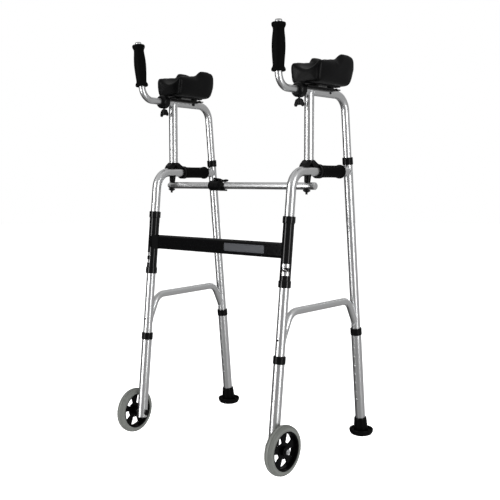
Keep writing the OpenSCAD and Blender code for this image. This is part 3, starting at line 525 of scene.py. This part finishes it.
def weld_tree():
    """Repeat: flattened beads along a line, each turned across it."""
    name = "Weld beads"
    if name in bpy.data.node_groups:
        return bpy.data.node_groups[name]
    inputs = (("Geometry", "Geometry", None), ("Bead radius", "Float", None), ("Bead pitch", "Float", None),
              ("Finish", "Material", None))
    tree = new_group(name, "GeometryNodeTree", inputs, ("Geometry", "Geometry"))
    make, link = tree.nodes.new, tree.links.new
    inp, out = make("NodeGroupInput"), make("NodeGroupOutput")
    line, beads = make("GeometryNodeMeshToCurve"), make("GeometryNodeCurveToPoints")
    beads.mode = "LENGTH"
    ball, place = make("GeometryNodeMeshIcoSphere"), make("GeometryNodeInstanceOnPoints")
    ball.inputs["Subdivisions"].default_value = 2
    place.inputs["Scale"].default_value = (1, 1, 0.62)
    real, smooth = make("GeometryNodeRealizeInstances"), make("GeometryNodeSetShadeSmooth")
    coat = make("GeometryNodeSetMaterial")
    link(inp.outputs["Geometry"], line.inputs["Mesh"])
    link(line.outputs["Curve"], beads.inputs["Curve"])
    link(inp.outputs["Bead pitch"], beads.inputs["Length"])
    link(inp.outputs["Bead radius"], ball.inputs["Radius"])
    link(beads.outputs["Points"], place.inputs["Points"])
    link(beads.outputs["Rotation"], place.inputs["Rotation"])
    link(ball.outputs["Mesh"], place.inputs["Instance"])
    link(place.outputs["Instances"], real.inputs["Geometry"])
    link(real.outputs["Geometry"], smooth.inputs["Geometry"])
    link(smooth.outputs["Geometry"], coat.inputs["Geometry"])
    link(inp.outputs["Finish"], coat.inputs["Material"])
    link(coat.outputs["Geometry"], out.inputs["Geometry"])
    return tree


class WALKER_OT_welds(bpy.types.Operator):
    """Makes the weld beads where a tube meets another"""
    bl_idname = "walker.welds"
    bl_label = "Weld beads"

    def execute(self, context):
        sizes = context.scene.walker_sizes
        for side, sign in SIDES:
            lines = ((self.grip_weld(sign), True),
                     (self.post_weld(sign, 1), False), (self.post_weld(sign, -1), False),
                     (self.brace_weld(sign, True), True), (self.brace_weld(sign, False), True))
            verts, edges = [], []
            for points, closed in lines:
                first = len(verts)
                verts += points
                edges += [(first + i, first + i + 1) for i in range(len(points) - 1)]
                if closed:
                    edges.append((len(verts) - 1, first))
            mesh = bpy.data.meshes.new(f"{side}_welds")
            mesh.from_pydata(verts, edges, [])
            obj = placed(f"{side}_welds", mesh)
            grow(obj, weld_tree(), {"Bead radius": sizes.weld_radius, "Bead pitch": sizes.weld_pitch,
                                    "Finish": finishes()["weld"]})
            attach(obj, f"{side}_frame")
        return {"FINISHED"}

    def grip_weld(self, sign, steps=48, shallow=3.2 * MM):
        """The ring where the hand-grip tube meets the rear tube, no nearer its middle than shallow."""
        points = []
        for k in range(steps):
            a = 2 * math.pi * k / steps
            x, z = FRAME_R * math.sin(a), GRIP_Z + FRAME_R * math.cos(a)
            y = LEG_BASE - LEAN * z - max(math.sqrt(max(FRAME_R ** 2 - x * x, 0)), shallow)
            points.append(spot(sign, x, y, z))
        return points

    def post_weld(self, sign, way, steps=24, half=86):
        """The line where the front or back of the post meets the underside of the top tube."""
        points = []
        for k in range(steps + 1):
            a = math.radians(2 * half * k / steps - half)
            x = ARM_R * math.sin(a)
            y = POST_Y + way * math.sqrt(FRAME_R ** 2 - x * x)
            points.append(spot(sign, x, y, ARM_Z - ARM_R * math.cos(a)))
        return points

    def brace_weld(self, sign, front, steps=40, proud=0.05 * MM):
        """The ring where the sloping end of the side brace meets the front or rear tube."""
        way, low = (1, BRACE_FRONT_Z) if front else (-1, BRACE_REAR_Z)
        foot = Vector((0, LEAN * low if front else LEG_BASE - LEAN * low, low))
        along = Vector((0, way * BRACE_CORNER, BRACE_TOP_Z - low)).normalized()
        leg = Vector((0, way * LEAN, 1)).normalized()
        across = Vector((1, 0, 0)).cross(along)
        q = along - leg * along.dot(leg)
        points = []
        for k in range(steps):
            a = 2 * math.pi * k / steps
            off = Vector((math.cos(a), 0, 0)) * BRACE_R + across * (math.sin(a) * BRACE_R)
            p = off - leg * off.dot(leg)
            qa, qb, qc = q.dot(q), 2 * p.dot(q), p.dot(p) - (FRAME_R + proud) ** 2
            at = foot + off + along * ((-qb + math.sqrt(qb * qb - 4 * qa * qc)) / (2 * qa))
            points.append(spot(sign, at.x, at.y, at.z))
        return points


def tread_tree():
    """Repeat: short ribs across both shoulders of a tyre, all round it. The axle is the tree's Z axis."""
    name = "Tyre ribs"
    if name in bpy.data.node_groups:
        return bpy.data.node_groups[name]
    inputs = (("Geometry", "Geometry", None), ("Ribs", "Int", None), ("Ring radius", "Float", None),
              ("Crown radius", "Float", None), ("Rib width", "Float", None), ("Rib height", "Float", None),
              ("Finish", "Material", None))
    tree = new_group(name, "GeometryNodeTree", inputs, ("Geometry", "Geometry"))
    make, link = tree.nodes.new, tree.links.new
    inp, out = make("NodeGroupInput"), make("NodeGroupOutput")
    ring, where = make("GeometryNodeMeshCircle"), make("GeometryNodeInputPosition")
    aim = make("FunctionNodeAlignRotationToVector")
    aim.axis = "X"
    aim.pivot_axis = "Z"
    both, section = make("GeometryNodeJoinGeometry"), make("GeometryNodeCurvePrimitiveQuadrilateral")
    rib, stand = make("GeometryNodeCurveToMesh"), make("GeometryNodeTransform")
    rib.inputs["Fill Caps"].default_value = True
    stand.inputs["Rotation"].default_value = (math.pi / 2, 0, 0)
    place, real = make("GeometryNodeInstanceOnPoints"), make("GeometryNodeRealizeInstances")
    coat = make("GeometryNodeSetMaterial")
    for start in (RIB_START, -RIB_START - RIB_SWEEP):
        arc = make("GeometryNodeCurveArc")
        arc.inputs["Resolution"].default_value = 5
        arc.inputs["Start Angle"].default_value = math.radians(start)
        arc.inputs["Sweep Angle"].default_value = math.radians(RIB_SWEEP)
        link(inp.outputs["Crown radius"], arc.inputs["Radius"])
        link(arc.outputs["Curve"], both.inputs["Geometry"])
    link(inp.outputs["Ribs"], ring.inputs["Vertices"])
    link(inp.outputs["Ring radius"], ring.inputs["Radius"])
    link(inp.outputs["Rib width"], section.inputs["Width"])
    link(inp.outputs["Rib height"], section.inputs["Height"])
    link(both.outputs["Geometry"], rib.inputs["Curve"])
    link(section.outputs["Curve"], rib.inputs["Profile Curve"])
    link(rib.outputs["Mesh"], stand.inputs["Geometry"])
    link(where.outputs["Position"], aim.inputs["Vector"])
    link(ring.outputs["Mesh"], place.inputs["Points"])
    link(stand.outputs["Geometry"], place.inputs["Instance"])
    link(aim.outputs["Rotation"], place.inputs["Rotation"])
    link(place.outputs["Instances"], real.inputs["Geometry"])
    link(real.outputs["Geometry"], coat.inputs["Geometry"])
    link(inp.outputs["Finish"], coat.inputs["Material"])
    link(coat.outputs["Geometry"], out.inputs["Geometry"])
    return tree


class WALKER_OT_tyres(bpy.types.Operator):
    """Makes the ribs of the tread and the tyres' lips"""
    bl_idname = "walker.tyres"
    bl_label = "Tyre tread"

    def execute(self, context):
        for side, sign in SIDES:
            at = on_axle(sign, WHEEL_X, 1)
            self.tread(side, at, context.scene.walker_sizes)
            for face, way in (("outer", 1), ("inner", -1)):
                bm = lathe([(r, way * t) for r, t in LIP], at, around=96)
                piece(f"{side}_{face}_lip", bm, "tyre", f"{side}_wheel")
        return {"FINISHED"}

    def tread(self, side, at, sizes):
        obj = placed(f"{side}_tread", bpy.data.meshes.new(f"{side}_tread"))
        grow(obj, tread_tree(), {"Ribs": sizes.tread_ribs, "Ring radius": WHEEL_R - TYRE_CROWN,
                                 "Crown radius": TYRE_CROWN + TREAD_PROUD, "Rib width": sizes.rib_width,
                                 "Rib height": sizes.rib_height, "Finish": finishes()["tyre"]})
        bm = bmesh.new()
        bm.from_mesh(obj.data)
        for v in bm.verts:
            v.co = at(*v.co)
        bmesh.ops.recalc_face_normals(bm, faces=bm.faces)
        bm.to_mesh(obj.data)
        bm.free()
        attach(obj, f"{side}_wheel")


class WALKER_OT_plate(bpy.types.Operator):
    """Makes the bare plate on the flat cross bar"""
    bl_idname = "walker.plate"
    bl_label = "Bare plate"

    def execute(self, context):
        sizes = context.scene.walker_sizes
        low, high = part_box("cross_bar")
        middle = (low.z + high.z) / 2
        bm = bmesh.new()
        rings = [[bm.verts.new((x, low.y - out, middle + z)) for x, z in self.outline(sizes, inset)]
                 for inset, out in PLATE_RIM]
        bm.faces.new(rings[0])
        bm.faces.new(rings[-1][::-1])
        for one, two in zip(rings, rings[1:]):
            for i in range(len(one)):
                j = (i + 1) % len(one)
                bm.faces.new((one[i], two[i], two[j], one[j]))
        piece("bare_plate", bm, "black_paint", "middle", finish="plate", smooth=30)
        return {"FINISHED"}

    def outline(self, sizes, inset, steps=6):
        """The plate's outline with its rounded corners, moved inwards by the inset."""
        corner = sizes.plate_corner
        left, right = sizes.plate_start + corner, sizes.plate_start + sizes.plate_length - corner
        rise = sizes.plate_height / 2 - corner
        for x, z, start in ((right, rise, 0), (left, rise, 90), (left, -rise, 180), (right, -rise, 270)):
            for k in range(steps + 1):
                a = math.radians(start + 90 * k / steps)
                yield x + (corner - inset) * math.cos(a), z + (corner - inset) * math.sin(a)


class WALKER_OT_plugs(bpy.types.Operator):
    """Makes the plugs in the open tube ends and the caps on the axles"""
    bl_idname = "walker.plugs"
    bl_label = "Tube plugs"

    def execute(self, context):
        for side, sign in SIDES:
            self.leg_plug(side, sign)
            self.handle_plug(side, sign)
            self.axle_cap(side, sign)
        return {"FINISHED"}

    def leg_plug(self, side, sign):
        low = WHEEL_R - LEG_BELOW_AXLE
        foot = Vector((0, LEAN * low, low))
        along = Vector((0, LEAN, 1)).normalized()
        across = Vector((0, 1, -LEAN)).normalized()
        face, brim, depth = -1.6 * MM, -0.1 * MM, 8 * MM
        profile = [(0, face), (LEG_R - 2.5 * MM, face), (LEG_R - 0.5 * MM, -0.9 * MM),
                   (LEG_R - 0.1 * MM, brim), (FRAME_R, brim), (FRAME_R, depth), (0, depth)]

        def at(x, y, t):
            p = foot + across * y + along * t
            return spot(sign, x, p.y, p.z)
        piece(f"{side}_leg_plug", lathe(profile, at, around=48), "black_plastic", f"{side}_front_lower")

    def handle_plug(self, side, sign):
        seat, crown = -0.2 * MM, 1.6 * MM
        profile = [(0, seat), (HANDLE_R - 1.3 * MM, seat), (HANDLE_R - 0.9 * MM, 0.2 * MM),
                   (HANDLE_R - 1.5 * MM, 1.2 * MM), (0, crown)]
        bm = lathe(profile, on_handle(side, sign, HANDLE_TOP), around=48)
        piece(f"{side}_handle_plug", bm, "black_plastic", f"{side}_handle")

    def axle_cap(self, side, sign):
        r, seat, face = 8.1 * MM, 1.6 * MM, 6.6 * MM
        profile = [(0, face), (5.4 * MM, face), (7.4 * MM, 6.0 * MM), (r, 4.8 * MM), (r, seat), (0, seat)]
        bm = lathe(profile, on_axle(sign, -LEG_R, -1), around=48)
        piece(f"{side}_axle_cap", bm, "black_plastic", f"{side}_front_lower")


class WALKER_OT_stage(bpy.types.Operator):
    """Sets the pale floor, the soft lights and the camera"""
    bl_idname = "walker.stage"
    bl_label = "Stage"

    def execute(self, context):
        look = context.scene.walker_stage
        self.floor()
        context.scene.world = self.surround(look.world_strength)
        for name, (place, aim, width, height, share) in SOFT_LIGHTS.items():
            self.soft_light(name, place, aim, width, height, look.key_power * share)
        bpy.data.objects["top"].visible_glossy = False
        context.scene.camera = self.camera(look)
        context.scene.view_settings.view_transform = "Standard"
        return {"FINISHED"}

    def floor(self):
        """A pale floor as far down as the legs reach at their longest setting."""
        heights = [j for j in frame["record"]["behaviour"]["joints"] if j["name"].endswith("_height")]
        lowest = -max(j["range_m"][1] for j in heights)
        bm = bmesh.new()
        bmesh.ops.create_circle(bm, cap_ends=True, radius=FLOOR_R, segments=64,
                                matrix=Matrix.Translation((0, 0, lowest)))
        pale = finish_of("pale_floor", (0.85, 0.85, 0.85, 1), 0.9, specular=0.1)
        shader = pale.node_tree.nodes["Principled BSDF"]
        shader.inputs["Emission Color"].default_value = (1, 1, 1, 1)
        shader.inputs["Emission Strength"].default_value = FLOOR_GLOW
        obj = placed("pale_floor", mesh_of("pale_floor", bm))
        obj.data.materials.append(pale)
        obj.visible_glossy = False

    def surround(self, strength):
        """White to the camera. The part sees a dim studio: dark to its left, grey to its right and above."""
        world = bpy.data.worlds.new("soft_surround")
        world.use_nodes = True
        nodes, link = world.node_tree.nodes, world.node_tree.links.new
        plain = nodes["Background"]
        plain.inputs["Color"].default_value = (1, 1, 1, 1)
        plain.inputs["Strength"].default_value = 1
        place, aim = nodes.new("ShaderNodeTexCoord"), nodes.new("ShaderNodeMapping")
        aim.inputs["Rotation"].default_value = (0, 0, STUDIO_TURN)
        turn, ramp = nodes.new("ShaderNodeTexGradient"), nodes.new("ShaderNodeValToRGB")
        turn.gradient_type = "RADIAL"
        stops = ramp.color_ramp.elements
        stops.remove(stops[1])
        for k, (at, tone) in enumerate(STUDIO_TONES):
            stop = stops[0] if k == 0 else stops.new(at)
            stop.position = at
            stop.color = (tone, tone, tone, 1)
        parts, height = nodes.new("ShaderNodeSeparateXYZ"), nodes.new("ShaderNodeMapRange")
        height.inputs["From Min"].default_value, height.inputs["From Max"].default_value = ZENITH_RISE
        blend = nodes.new("ShaderNodeMix")
        blend.data_type = "RGBA"
        blend.inputs["B"].default_value = (ZENITH_TONE, ZENITH_TONE, ZENITH_TONE, 1)
        soft, path = nodes.new("ShaderNodeBackground"), nodes.new("ShaderNodeLightPath")
        soft.inputs["Strength"].default_value = strength
        mix = nodes.new("ShaderNodeMixShader")
        link(place.outputs["Generated"], aim.inputs["Vector"])
        link(aim.outputs["Vector"], turn.inputs["Vector"])
        link(turn.outputs["Fac"], ramp.inputs["Fac"])
        link(place.outputs["Generated"], parts.inputs["Vector"])
        link(parts.outputs["Z"], height.inputs["Value"])
        link(height.outputs["Result"], blend.inputs["Factor"])
        link(ramp.outputs["Color"], blend.inputs["A"])
        link(blend.outputs["Result"], soft.inputs["Color"])
        link(path.outputs["Is Camera Ray"], mix.inputs["Fac"])
        link(soft.outputs["Background"], mix.inputs[1])
        link(plain.outputs["Background"], mix.inputs[2])
        link(mix.outputs["Shader"], nodes["World Output"].inputs["Surface"])
        return world

    def soft_light(self, name, place, aim, width, height, power):
        data = bpy.data.lights.new(name, "AREA")
        data.shape = "RECTANGLE"
        data.size = width
        data.size_y = height
        data.energy = power
        obj = placed(name, data)
        obj.location = place
        obj.rotation_euler = (Vector(aim) - Vector(place)).to_track_quat("-Z", "Y").to_euler()

    def camera(self, look):
        data = bpy.data.cameras.new("photo_camera")
        data.lens = look.lens
        data.sensor_width = 36
        data.shift_y = look.shift
        obj = placed("photo_camera", data)
        obj.location = look.camera_place
        obj.rotation_euler = look.camera_turn
        return obj


OPERATORS = (WALKER_OT_frame_finish, WALKER_OT_pads, WALKER_OT_grips, WALKER_OT_welds, WALKER_OT_tyres,
             WALKER_OT_plate, WALKER_OT_plugs, WALKER_OT_stage)


class WALKER_PT_panel(bpy.types.Panel):
    bl_label = "Upright walker"
    bl_idname = "WALKER_PT_panel"
    bl_space_type = "VIEW_3D"
    bl_region_type = "UI"
    bl_category = "Walker"

    def draw(self, context):
        for operator in OPERATORS:
            self.layout.operator(operator.bl_idname)


GROUPS = (WalkerFinish, WalkerSizes, WalkerStage)


def register():
    for cls in GROUPS + OPERATORS + (WALKER_PT_panel,):
        bpy.utils.register_class(cls)
    bpy.types.Scene.walker_finish = PointerProperty(type=WalkerFinish)
    bpy.types.Scene.walker_sizes = PointerProperty(type=WalkerSizes)
    bpy.types.Scene.walker_stage = PointerProperty(type=WalkerStage)


def unregister():
    del bpy.types.Scene.walker_finish, bpy.types.Scene.walker_sizes, bpy.types.Scene.walker_stage
    for cls in reversed(GROUPS + OPERATORS + (WALKER_PT_panel,)):
        bpy.utils.unregister_class(cls)


def main():
    register()
    bpy.ops.walker.frame_finish()
    bpy.ops.walker.pads()
    bpy.ops.walker.grips()
    bpy.ops.walker.welds()
    bpy.ops.walker.tyres()
    bpy.ops.walker.plate()
    bpy.ops.walker.plugs()
    bpy.ops.walker.stage()


if __name__ == "__main__":
    main()
